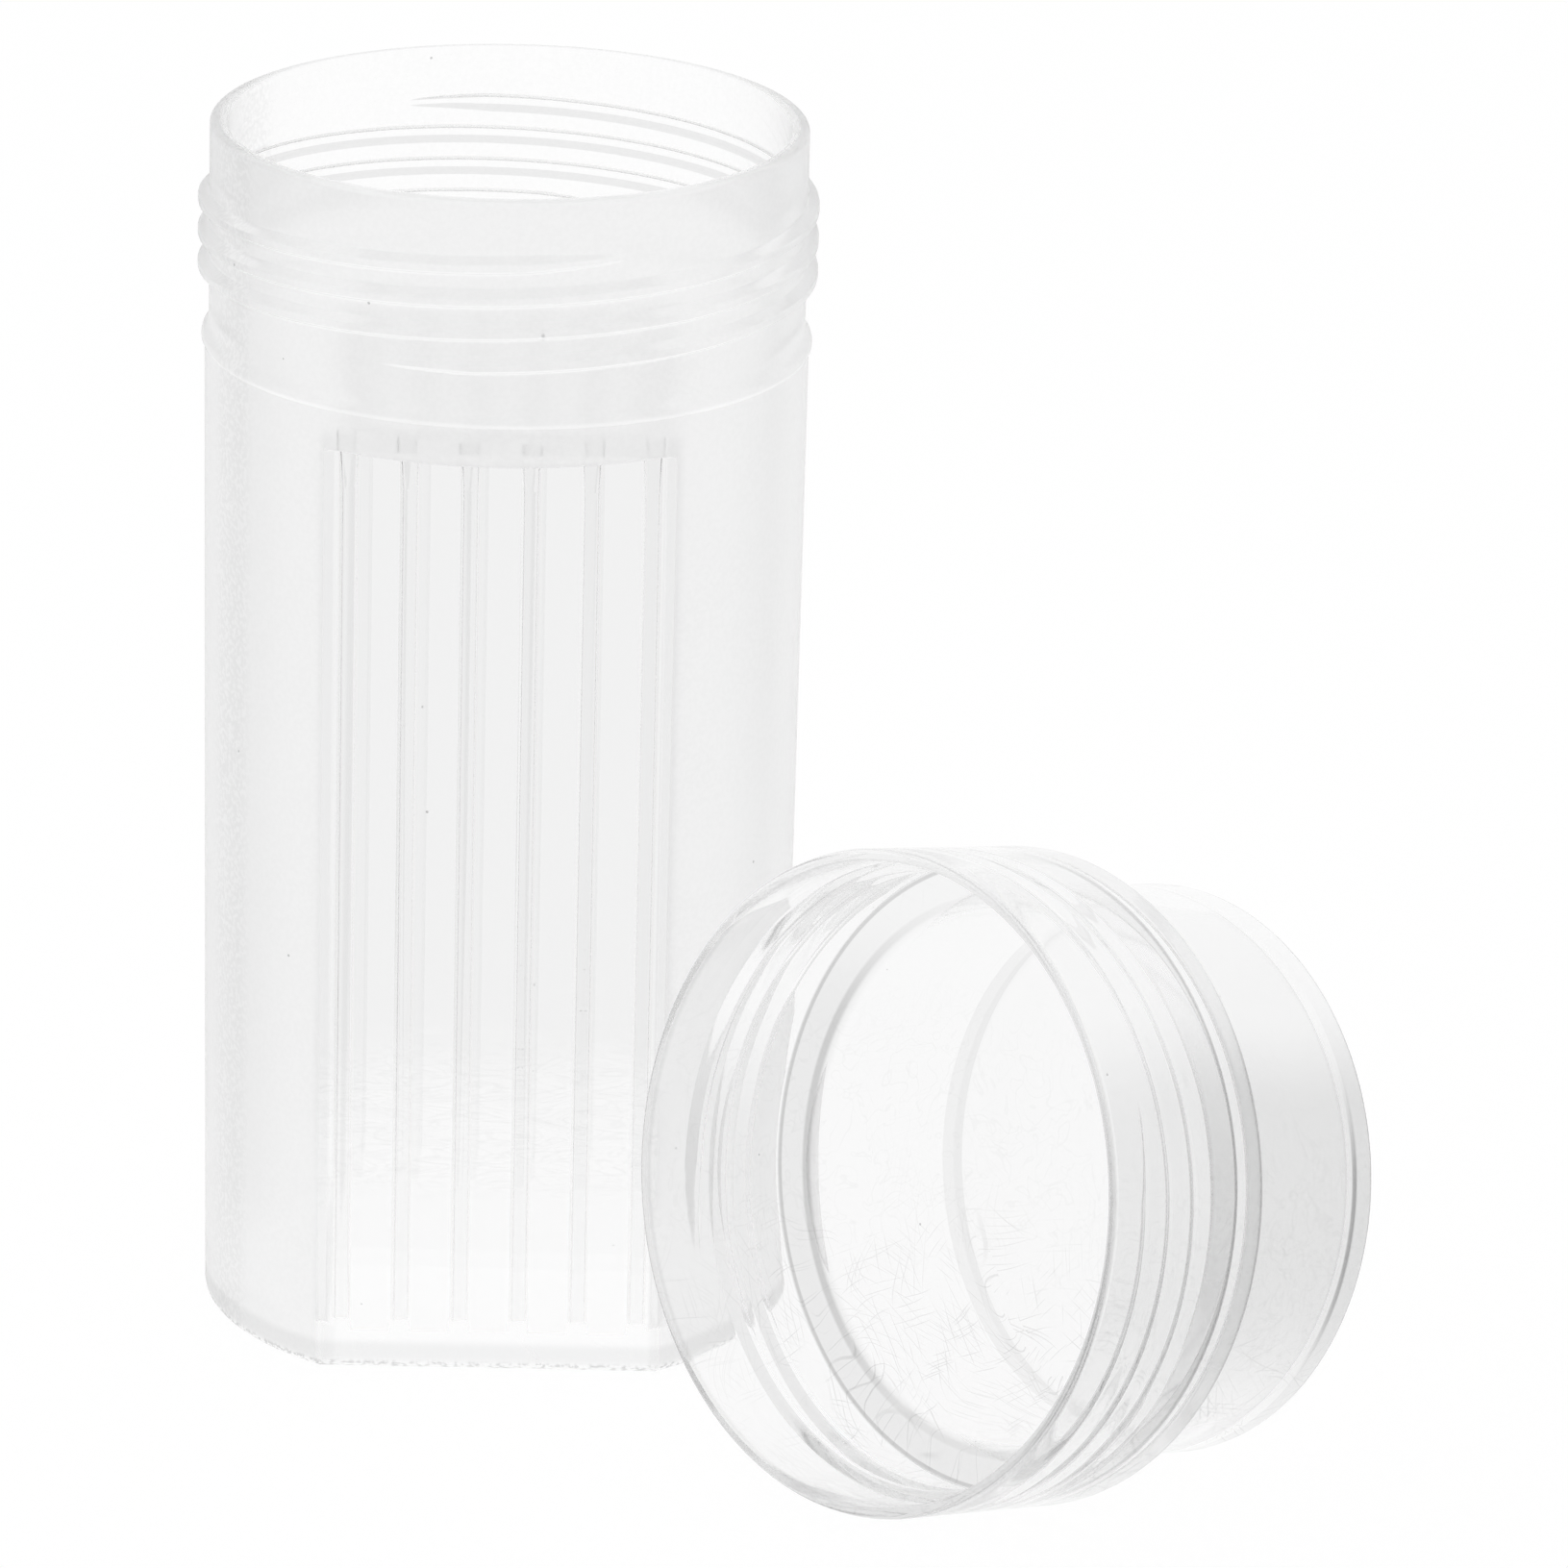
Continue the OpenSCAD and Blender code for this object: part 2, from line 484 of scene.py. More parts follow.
@dataclass
class Jar:
    """The jar, standing on the origin. Sizes are in millimetres.

    Height and bore come from the frame.
    """

    height: float
    bore: float
    body: float = 18.75
    foot: float = 18.4
    neck: float = 18.5
    flat_top: float = 15.35
    flat_foot: float = 15.05
    ledge: float = 60.4
    wall: float = 1.15
    floor: float = 2.2
    foot_round: float = 0.6
    corner_round: float = 0.9
    ledge_round: float = 0.4
    lip_round: float = 0.3
    collar: float = 63.6
    collar_radius: float = 18.95
    collar_half: float = 0.6
    rib_count: int = 6
    rib_pitch: float = 3.7
    rib_width: float = 1.15
    rib_tip: float = 0.85
    rib_depth: float = 2.2
    rib_slope: float = 2.0
    rib_edge: float = 0.12
    thread: Thread = Thread(2, 2.08, 1.65, 66.5, 63.0)
    thread_low: float = 65.5
    thread_high: float = 74.5
    side_rows: int = 7

    @property
    def shelf(self) -> float:
        """Height of the inner shelf above the flats."""
        return self.ledge + self.wall

    @property
    def inner_top(self) -> float:
        """Distance from the axis to the inner flats, at the shelf."""
        return self.flat_top - self.wall

    @property
    def inner_foot(self) -> float:
        """Distance from the axis to the inner flats, at the floor."""
        return self.flat_foot - self.wall

    def taper(self, upper: Point, lower: Point) -> list[Point]:
        """Rows down a tapering wall, so that its faces stay short.

        Args:
            upper: Radius and height where the wall begins.
            lower: Radius and height where it ends; this row isn't included.

        Returns:
            Radii and heights.
        """
        return [
            tuple(a + (b - a) * i / self.side_rows for a, b in zip(upper, lower))
            for i in range(self.side_rows)
        ]

    def downward(self) -> list[Point]:
        """Profile from the thread down the outside to the middle of the underside.

        Returns:
            Radii and heights.
        """
        bead = self.collar_radius - self.collar_half
        side_top = self.collar - 2 * self.collar_half
        side = self.taper((self.body, side_top), (self.foot, self.foot_round))
        return [
            (self.neck, self.collar + self.collar_half),
            *arc(bead, self.collar - self.collar_half / 2, self.collar_half, 60, -50),
            *side,
            *arc(self.foot - self.foot_round, self.foot_round, self.foot_round, 0, -90),
            (0, 0),
        ]

    def inward(self) -> list[Point]:
        """Profile from the thread over the lip and down the inside to the floor's middle.

        Returns:
            Radii and heights.
        """
        cavity = self.foot - self.wall
        bottom = self.floor + self.corner_round
        side = self.taper((self.bore, self.shelf), (cavity, bottom))
        lip = self.height - self.lip_round
        return [
            *arc(self.neck - self.lip_round, lip, self.lip_round, 0, 90),
            *arc(self.bore + self.lip_round, lip, self.lip_round, 90, 180),
            *side,
            *arc(cavity - self.corner_round, bottom, self.corner_round, 0, -90),
            (0, self.floor),
        ]

    def flat_cutter(self) -> bpy.types.Object:
        """What the front or back flat takes away, on the +Y side.

        Returns:
            The closed tool.
        """
        reach = 2 * self.body
        over = 1.0
        inner = self.flat_foot - self.foot_round
        corner = self.flat_top + self.ledge_round
        outline = [
            (reach, -over),
            (inner - over, -over),
            *arc(inner, self.foot_round, self.foot_round, -90, 0),
            *arc(corner, self.ledge - self.ledge_round, self.ledge_round, 180, 90),
            (reach, self.ledge),
        ]
        return block("flat_cutter", outline, 1.5 * self.body)

    def inner_flat(self) -> bpy.types.Object:
        """The material behind one inner flat: a drum sliced by the flat, on the +Y side.

        Returns:
            The closed piece.
        """
        low = self.floor - self.wall / 2
        deselect_all()
        bpy.ops.mesh.primitive_cylinder_add(
            vertices=COLUMNS,
            radius=(self.bore + self.wall / 2) * MM,
            depth=(self.shelf - low) * MM,
            location=(0, 0, (self.shelf + low) / 2 * MM),
        )
        piece = bpy.context.object
        bpy.ops.object.transform_apply(location=True, rotation=False, scale=False)
        edit(piece)
        draft = (self.inner_top - self.inner_foot) / (self.shelf - self.floor)
        bpy.ops.mesh.bisect(
            plane_co=(0, self.inner_foot * MM, self.floor * MM),
            plane_no=(0, 1, -draft),
            use_fill=True,
            clear_inner=True,
            threshold=WELD / 10,
        )

        def shelf_edge(edge: bmesh.types.BMEdge) -> bool:
            """Pick the straight edge between the flat and the shelf.

            Args:
                edge: An edge of the piece.

            Returns:
                True for that edge.
            """
            high = all(abs(v.co.z - self.shelf * MM) < WELD for v in edge.verts)
            near = all(v.co.y < (self.inner_top + 0.1) * MM for v in edge.verts)
            return high and near

        select_where(piece, "EDGE", shelf_edge)
        bpy.ops.mesh.bevel(offset=self.lip_round * MM, segments=4, affect="EDGES")
        bpy.ops.mesh.select_all(action="SELECT")
        bpy.ops.mesh.normals_make_consistent(inside=False)
        deselect_all()
        return piece

    def rib(self) -> bpy.types.Object:
        """One rib on the +Y side, tapered to its tip and sloping at its top.

        Returns:
            The closed piece.
        """
        low = self.floor - self.wall / 2
        top = self.shelf - self.lip_round
        tip = self.inner_foot - self.rib_depth
        root = self.inner_top + self.wall / 2
        deselect_all()
        centre = (0, (tip + root) / 2 * MM, (low + top) / 2 * MM)
        bpy.ops.mesh.primitive_cube_add(size=1, location=centre)
        piece = bpy.context.object
        piece.scale = (self.rib_width * MM, (root - tip) * MM, (top - low) * MM)
        bpy.ops.object.transform_apply(location=True, rotation=False, scale=True)
        edit(piece)
        middle = (0, self.inner_foot * MM, 0)
        bpy.ops.mesh.bisect(plane_co=middle, plane_no=(0, 1, 0), threshold=WELD / 10)
        select_where(piece, "VERT", lambda v: v.co.y < (tip + 0.1) * MM)
        taper = self.rib_tip / self.rib_width
        bpy.ops.transform.resize(value=(taper, 1, 1), center_override=(0, 0, 0))
        tip_top = (tip + 0.1) * MM, (top - 1) * MM
        select_where(piece, "VERT", lambda v: v.co.y < tip_top[0] and v.co.z > tip_top[1])
        fall = -self.rib_slope * self.rib_depth * MM
        bpy.ops.transform.translate(value=(0, 0, fall))

        def tip_edge(edge: bmesh.types.BMEdge) -> bool:
            """Pick the edges round the rib's tip and along its sloping top.

            Args:
                edge: An edge of the rib.

            Returns:
                True for those edges.
            """
            above = all(v.co.z > (low + 1) * MM for v in edge.verts)
            ends = [v.co.y for v in edge.verts]
            upright = abs(edge.verts[0].co.z - edge.verts[1].co.z) > 30 * MM
            at_tip = max(ends) < (tip + 0.1) * MM
            sloping = above and max(ends) < (self.inner_foot + 0.1) * MM and not upright
            across_root = min(ends) > (self.inner_foot - 0.1) * MM
            return at_tip and (upright or above) or sloping and not across_root

        select_where(piece, "EDGE", tip_edge)
        bpy.ops.mesh.bevel(offset=self.rib_edge * MM, segments=3, affect="EDGES")
        bpy.ops.mesh.select_all(action="SELECT")
        bpy.ops.mesh.normals_make_consistent(inside=False)
        deselect_all()
        return piece

    def build(self) -> bpy.types.Object:
        """Model the jar.

        Returns:
            The finished mesh, at the origin.
        """
        piece = self.thread.wind(
            "staining_jar", self.neck, self.thread_low, self.thread_high, Side.OUTWARD
        )
        carry_rim(piece, (self.neck, self.thread_low), self.downward())
        carry_rim(piece, (self.neck, self.thread_high), self.inward())
        deselect_all()
        ledge_block = self.inner_flat()
        first = self.rib()
        middle = (self.rib_count - 1) / 2
        ribs = [
            shifted(first, Vector(((i - middle) * self.rib_pitch * MM, 0, 0)))
            for i in range(self.rib_count)
        ]
        bpy.data.objects.remove(first)
        inner = [ledge_block, *ribs]
        inner += [across(tool) for tool in inner]
        carve(piece, inner, "UNION")
        cutter = self.flat_cutter()
        carve(piece, [cutter, across(cutter)], "DIFFERENCE")
        finish_skin(piece)
        return piece


# ---------------------------------------------------------------- the cap


@dataclass
class ScrewCap:
    """The cap, modelled standing on its mouth and then laid down. Sizes are in millimetres.

    The pose comes from the frame: where the middle of the mouth lies and where the mouth looks.
    """

    mouth: Vector
    outlook: Vector
    skirt: float = 20.05
    skirt_inside: float = 19.35
    skirt_length: float = 13.0
    shoulder: float = 1.8
    dome: float = 17.5
    dome_wall: float = 1.15
    length: float = 25.45
    end_wall: float = 1.2
    edge: float = 0.5
    flare: float = 1.1
    draft: float = 0.05
    rim_edge: float = 0.3
    lead_in: float = 0.15
    corner: float = 0.2
    thread: Thread = Thread(2, 2.08, 1.3, 3.5, 326.0)
    thread_low: float = 2.2
    thread_high: float = 10.2

    @property
    def seat(self) -> float:
        """Depth of the flat face that meets the jar's lip."""
        return self.skirt_length - self.shoulder

    def towards_mouth(self) -> list[Point]:
        """Profile from the thread over the mouth's rim and up the outside to the top's middle.

        Returns:
            Radii and heights.
        """
        outside = self.skirt + self.draft
        return [
            (self.skirt_inside, 3 * self.lead_in),
            (self.skirt_inside + self.lead_in, 0),
            *arc(outside - self.rim_edge, self.rim_edge, self.rim_edge, -90, 0),
            (self.skirt + self.draft / 2, self.skirt_length / 2),
            *arc(self.skirt - self.edge, self.skirt_length - self.edge, self.edge, 0, 90),
            *arc(self.dome + self.edge, self.skirt_length + self.edge, self.edge, -90, -180),
            (self.dome, (self.skirt_length + self.length) / 2),
            *arc(self.dome - self.edge, self.length - self.edge, self.edge, 0, 90),
            (self.dome / 2, self.length),
            (0, self.length),
        ]

    def towards_end(self) -> list[Point]:
        """Profile from the thread over the seat and up the inside of the dome to its middle.

        Returns:
            Radii and heights.
        """
        inside = self.dome - self.dome_wall
        ceiling = self.length - self.end_wall
        return [
            *arc(self.skirt_inside - self.corner, self.seat - self.corner, self.corner, 0, 90, 4),
            *arc(inside + self.flare, self.seat + self.flare, self.flare, 270, 180, 8),
            (inside, (self.seat + self.length) / 2),
            *arc(inside - self.edge, ceiling - self.edge, self.edge, 0, 90),
            (inside / 2, ceiling),
            (0, ceiling),
        ]

    def pose(self) -> Matrix:
        """The move that lays the cap down: local X level, local Z from mouth to dome.

        Returns:
            The move, in metres.
        """
        axis = -self.outlook.normalized()
        level = Vector((-axis.y, axis.x, 0)).normalized()
        upper = axis.cross(level)
        turn = Matrix((level, upper, axis)).transposed()
        return Matrix.Translation(self.mouth) @ turn.to_4x4()

    def build(self) -> bpy.types.Object:
        """Model the cap.

        Returns:
            The finished mesh where the cap lies, its object at the origin.
        """
        piece = self.thread.wind(
            "screw_cap_skin", self.skirt_inside, self.thread_low, self.thread_high, Side.INWARD
        )
        carry_rim(piece, (self.skirt_inside, self.thread_low), self.towards_mouth())
        carry_rim(piece, (self.skirt_inside, self.thread_high), self.towards_end())
        deselect_all()
        piece.matrix_world = self.pose()
        make_active(piece)
        bpy.ops.object.transform_apply(location=True, rotation=True, scale=True)
        finish_skin(piece)
        return piece


# ---------------------------------------------------------------- shader graphs

Socket = bpy.types.NodeSocket
Feed = Socket | float | tuple[float, ...]
Shade = tuple[float, Feed]  # how far a mark darkens the tint, and where


class Graph:
    """Writes shader nodes into a tree."""

    def __init__(self, tree: bpy.types.NodeTree) -> None:
        """Work on a tree.

        Args:
            tree: The node tree to write in.
        """
        self.tree = tree

    def add(self, kind: str, **settings: object) -> bpy.types.Node:
        """Add a node.

        Args:
            kind: Blender's name for the node, without ShaderNode.
            settings: Properties to set on it.

        Returns:
            The node.
        """
        node = self.tree.nodes.new("ShaderNode" + kind)
        for name, value in settings.items():
            setattr(node, name, value)
        return node

    def feed(self, socket: Socket, value: Feed) -> None:
        """Link a socket or set its value.

        Args:
            socket: The input.
            value: Another node's output, or a constant.
        """
        if isinstance(value, Socket):
            self.tree.links.new(value, socket)
        else:
            socket.default_value = value

    def math(self, how: str, *values: Feed) -> Socket:
        """Combine values with one sum.

        Args:
            how: The operation.
            values: Its inputs.

        Returns:
            The result.
        """
        node = self.add("Math", operation=how)
        for socket, value in zip(node.inputs, values):
            self.feed(socket, value)
        return node.outputs[0]

    def size(self, value: Feed) -> Socket:
        """A value without its sign."""
        return self.math("ABSOLUTE", value)

    def opposite(self, mask: Feed) -> Socket:
        """The mask that is 1 where this one is 0."""
        return self.math("SUBTRACT", 1.0, mask)

    def from_axis(self, x: Feed, y: Feed) -> Socket:
        """Distance from the Z axis.

        Args:
            x: First coordinate.
            y: Second coordinate.

        Returns:
            The distance.
        """
        squares = self.math("ADD", self.math("POWER", x, 2.0), self.math("POWER", y, 2.0))
        return self.math("SQRT", squares)

    def ease(
        self, value: Feed, low: float, high: float, first: float = 0.0, last: float = 1.0
    ) -> Socket:
        """Ease from one level to another while a value goes from low to high.

        Args:
            value: The value.
            low: Where the first level ends.
            high: Where the last level begins.
            first: Level below low.
            last: Level above high.

        Returns:
            The level.
        """
        node = self.add("MapRange", interpolation_type="SMOOTHSTEP")
        limits = {"From Min": low, "From Max": high, "To Min": first, "To Max": last}
        for name, number in limits.items():
            node.inputs[name].default_value = number
        self.feed(node.inputs["Value"], value)
        return node.outputs[0]

    def ramp(
        self, place: Feed, low: float, high: float, first: float = 0.0, last: float = 1.0
    ) -> Socket:
        """Ease from one level to another between two places.

        Args:
            place: Where, in metres.
            low: Where the first level ends, in millimetres.
            high: Where the last level begins, in millimetres.
            first: Level before low.
            last: Level after high.

        Returns:
            The level.
        """
        return self.ease(place, low * MM, high * MM, first, last)

    def beyond(self, place: Feed, limit: float) -> Socket:
        """A sharp mask past a limit.

        Args:
            place: Where, in metres.
            limit: The limit in millimetres.

        Returns:
            A mask.
        """
        return self.math("GREATER_THAN", place, limit * MM)

    def near(self, place: Feed, middle: float, half: float) -> Socket:
        """A soft stripe.

        Args:
            place: Where, in metres.
            middle: The stripe's middle in millimetres.
            half: Half its width in millimetres.

        Returns:
            A mask.
        """
        away = self.size(self.math("SUBTRACT", place, middle * MM))
        return self.ramp(away, half * 0.5, half * 1.5, 1.0, 0.0)

    def product(self, *values: Feed) -> Socket:
        """Multiply several values.

        Args:
            values: The values.

        Returns:
            Their product.
        """
        result = values[0]
        for value in values[1:]:
            result = self.math("MULTIPLY", result, value)
        return result

    def greatest(self, *values: Feed) -> Socket:
        """The greatest of several values.

        Args:
            values: The values.

        Returns:
            The greatest.
        """
        result = values[0]
        for value in values[1:]:
            result = self.math("MAXIMUM", result, value)
        return result

    def blend(self, share: Feed, first: Feed, last: Feed) -> Socket:
        """Mix two values.

        Args:
            share: Share of the last value.
            first: The value at share 0.
            last: The value at share 1.

        Returns:
            The mixture.
        """
        node = self.add("Mix", data_type="FLOAT")
        for socket, value in zip(node.inputs[:1] + node.inputs[2:4], (share, first, last)):
            self.feed(socket, value)
        return node.outputs[0]

    def split(self, vector: Feed) -> tuple[Socket, ...]:
        """The three coordinates of a vector.

        Args:
            vector: The vector.

        Returns:
            X, Y and Z.
        """
        node = self.add("SeparateXYZ")
        self.feed(node.inputs[0], vector)
        return tuple(node.outputs)

    def join(self, x: Feed, y: Feed, z: Feed) -> Socket:
        """A vector from three coordinates.

        Args:
            x: First coordinate.
            y: Second coordinate.
            z: Third coordinate.

        Returns:
            The vector.
        """
        node = self.add("CombineXYZ")
        for socket, value in zip(node.inputs, (x, y, z)):
            self.feed(socket, value)
        return node.outputs[0]

    def vector(self, how: str, *values: Feed) -> bpy.types.Node:
        """Combine vectors with one sum.

        Args:
            how: The operation.
            values: Its inputs.

        Returns:
            The node, whose result is a vector or a value.
        """
        node = self.add("VectorMath", operation=how)
        for socket, value in zip(node.inputs, values):
            self.feed(socket, value)
        return node

    def noise(
        self, vector: Feed, size: float, detail: float = 2.0, warp: float = 0.0
    ) -> bpy.types.Node:
        """Soft noise.

        Args:
            vector: Where to look it up, in metres.
            size: Size of its blotches in millimetres.
            detail: Number of finer layers.
            warp: How far it is bent.

        Returns:
            The node; its first output is about 0.5 in the middle.
        """
        node = self.add("TexNoise")
        node.inputs["Scale"].default_value = 1 / (size * MM)
        node.inputs["Detail"].default_value = detail
        node.inputs["Distortion"].default_value = warp
        self.feed(node.inputs["Vector"], vector)
        return node

    def use(self, group: bpy.types.NodeTree, *values: Feed) -> Socket:
        """Use a node group.

        Args:
            group: The group.
            values: Its inputs.

        Returns:
            Its first output.
        """
        node = self.add("Group", node_tree=group)
        for socket, value in zip(node.inputs, values):
            self.feed(socket, value)
        return node.outputs[0]


# ---------------------------------------------------------------- reusable effects


def node_group(
    name: str, inputs: dict[str, str], output: str
) -> tuple[Graph, tuple[Socket, ...], Socket]:
    """Start a reusable node group.

    Args:
        name: Name of the group.
        inputs: Name and type of each input.
        output: Name of its one output, a value.

    Returns:
        The group's graph, what comes in and where the result goes.
    """
    tree = bpy.data.node_groups.new(name, "ShaderNodeTree")
    for label, kind in inputs.items():
        tree.interface.new_socket(label, in_out="INPUT", socket_type="NodeSocket" + kind)
    tree.interface.new_socket(output, in_out="OUTPUT", socket_type="NodeSocketFloat")
    source = tree.nodes.new("NodeGroupInput")
    sink = tree.nodes.new("NodeGroupOutput")
    return Graph(tree), tuple(source.outputs)[: len(inputs)], sink.inputs[0]


def frosted_skin_group(jar: Jar) -> bpy.types.NodeTree:
    """Where the jar's skin is frosted: its round outside, but neither its flats nor its inside.

    Args:
        jar: The jar, for its sizes.

    Returns:
        A group from a place on the jar to a mask.
    """
    graph, (place,), mask = node_group("frosted_skin", {"Place": "Vector"}, "Mask")
    x, y, z = graph.split(place)
    inside = jar.bore + 0.35
    outer = graph.ramp(graph.from_axis(x, y), inside, inside + 0.2)
    lean = (jar.flat_top - jar.flat_foot) / jar.ledge
    flat = graph.math("MULTIPLY_ADD", z, lean, jar.flat_foot * MM)
    off_flat = graph.ramp(graph.math("SUBTRACT", graph.size(y), flat), 0.03, 0.12)
    corner = math.sqrt(jar.foot**2 - jar.flat_foot**2)
    beside = graph.ramp(graph.size(x), corner, corner + 0.25)
    above = graph.ramp(z, jar.ledge - 0.05, jar.ledge)
    graph.feed(mask, graph.product(outer, graph.greatest(off_flat, beside, above)))
    return graph.tree


def rib_skin_group(jar: Jar) -> bpy.types.NodeTree:
    """Where the jar's skin belongs to a rib.

    Args:
        jar: The jar, for its sizes.

    Returns:
        A group from a place on the jar to a mask.
    """
    graph, (place,), mask = node_group("rib_skin", {"Place": "Vector"}, "Mask")
    x, y, z = graph.split(place)
    root = graph.ramp(graph.size(y), jar.inner_foot - 0.15, jar.inner_foot - 0.05, 1.0, 0.0)
    reach = (jar.rib_count - 1) / 2 * jar.rib_pitch + jar.rib_width / 2 + 0.05
    among = graph.ramp(graph.size(x), reach, reach + 0.1, 1.0, 0.0)
    above = graph.ramp(z, jar.floor + 0.05, jar.floor + 0.1)
    graph.feed(mask, graph.product(root, among, above))
    return graph.tree


def flow_waves_group() -> bpy.types.NodeTree:
    """Shallow waves left where the molten plastic met the wall.

    Returns:
        A group from a place and a size in millimetres to a height.
    """
    inputs = {"Place": "Vector", "Size": "Float"}
    graph, (place, size), height = node_group("flow_waves", inputs, "Height")
    waves = graph.noise(place, 1.0, 1.0, 1.2)
    graph.feed(waves.inputs["Scale"], graph.math("DIVIDE", 1 / MM, size))
    graph.feed(height, waves.outputs[0])
    return graph.tree


def specks_group() -> bpy.types.NodeTree:
    """Small round specks, only in some cells.

    Returns:
        A group from a place, a spacing and a size in millimetres to a mask.
    """
    inputs = {"Place": "Vector", "Spacing": "Float", "Size": "Float"}
    graph, (place, spacing, size), mask = node_group("specks", inputs, "Mask")
    cells = graph.add("TexVoronoi")
    graph.feed(cells.inputs["Vector"], place)
    graph.feed(cells.inputs["Scale"], graph.math("DIVIDE", 1 / MM, spacing))
    away = graph.math("MULTIPLY", cells.outputs["Distance"], spacing)
    chance = graph.split(cells.outputs["Color"])[0]
    speckled = graph.math("GREATER_THAN", chance, 0.6)
    graph.feed(mask, graph.product(graph.math("LESS_THAN", away, size), speckled))
    return graph.tree


def hairlines_group() -> bpy.types.NodeTree:
    """Hairline scratches on a surface unrolled flat.

    Returns:
        A group from a place on the unrolled surface, a turn in radians, a length and a width
        in millimetres to a mask.
    """
    inputs = {"Place": "Vector", "Turn": "Float", "Length": "Float", "Width": "Float"}
    graph, (place, turn, length, width), mask = node_group("hairlines", inputs, "Mask")
    rotate = graph.add("VectorRotate", rotation_type="Z_AXIS")
    graph.feed(rotate.inputs["Vector"], place)
    graph.feed(rotate.inputs["Angle"], turn)
    along, over, _ = graph.split(rotate.outputs[0])
    reach = 0.11  # half of a line, as a part of its stretched cell
    long_way = graph.product(along, graph.math("DIVIDE", 2 * reach / MM, length))
    short_way = graph.product(over, graph.math("DIVIDE", 2 * reach / MM, width))
    cells = graph.add("TexVoronoi", voronoi_dimensions="2D")
    cells.inputs["Scale"].default_value = 1
    graph.feed(cells.inputs["Vector"], graph.join(long_way, short_way, turn))
    graph.feed(mask, graph.ease(cells.outputs["Distance"], 0.3 * reach, reach, 1.0, 0.0))
    return graph.tree


# ---------------------------------------------------------------- finishes


@dataclass(frozen=True)
class Skin:
    """What a material starts from: its graph and what the skin's geometry says."""

    graph: Graph
    place: Socket
    outward: Socket
    leaving: Socket


@dataclass(frozen=True)
class Plastic:
    """Natural polypropylene. Shades say how far a mark darkens the tint; most are painted shade on
    edges, creases, ribs and sides, the rest the plastic's own marks.

    Sizes and places are in millimetres.
    """

    name: str
    tint: float = 0.99
    clarity: float = 1.0
    gloss: float = 0.05
    ior: float = 1.15
    # outline, side and flank shades set painted shade; crease shade sets painted crease lines and
    # the jar foot's rough edge
    outline_shade: float = 0.4
    outline_sharpness: float = 4.0
    side_shade: float = 0.28
    flank_shade: float = 0.14
    crease_shade: float = 0.45
    wave_shade: float = 0.05
    wave_depth: float = 0.0015
    speck_shade: float = 0.6

    def start(self) -> Skin:
        """Make the material.

        Returns:
            Its graph, the place on the object, the way the skin faces and a mask for light
            that leaves the plastic.
        """
        material = bpy.data.materials.new(self.name)
        material.use_nodes = True
        graph = Graph(material.node_tree)
        where = graph.add("TexCoord")
        leaving = graph.add("NewGeometry").outputs["Backfacing"]
        outward = graph.vector("SCALE", where.outputs["Normal"])
        graph.feed(outward.inputs["Scale"], graph.math("MULTIPLY_ADD", leaving, -2.0, 1.0))
        return Skin(graph, where.outputs["Object"], outward.outputs[0], leaving)

    def outline(self, graph: Graph) -> Socket:
        """How nearly edge-on the skin is seen, for painted shade where clear plastic looks darkest.

        Args:
            graph: The material's graph.

        Returns:
            A mask.
        """
        facing = graph.add("LayerWeight").outputs["Facing"]
        return graph.math("POWER", facing, self.outline_sharpness)

    def close(
        self, graph: Graph, shades: Sequence[Shade], roughness: Feed, height: Feed
    ) -> bpy.types.Material:
        """Finish the material with its shader.

        Args:
            graph: The material's graph.
            shades: How far each mark darkens the tint, and where.
            roughness: Roughness of the skin.
            height: Height of the skin in millimetres.

        Returns:
            The material.
        """
        # painted shade and the plastic's own marks each darken the tint here
        light: Feed = self.tint
        for shade, mask in shades:
            light = graph.product(light, graph.math("MULTIPLY_ADD", mask, -shade, 1.0))
        colour = graph.add("CombineColor")
        for socket in colour.inputs[:3]:
            graph.feed(socket, light)
        bump = graph.add("Bump")
        bump.inputs["Distance"].default_value = MM
        graph.feed(bump.inputs["Height"], height)
        shader = graph.tree.nodes["Principled BSDF"]
        shader.inputs["IOR"].default_value = self.ior
        shader.inputs["Transmission Weight"].default_value = self.clarity
        graph.feed(shader.inputs["Base Color"], colour.outputs[0])
        graph.feed(shader.inputs["Roughness"], roughness)
        graph.feed(shader.inputs["Normal"], bump.outputs[0])
        return bpy.data.materials[self.name]


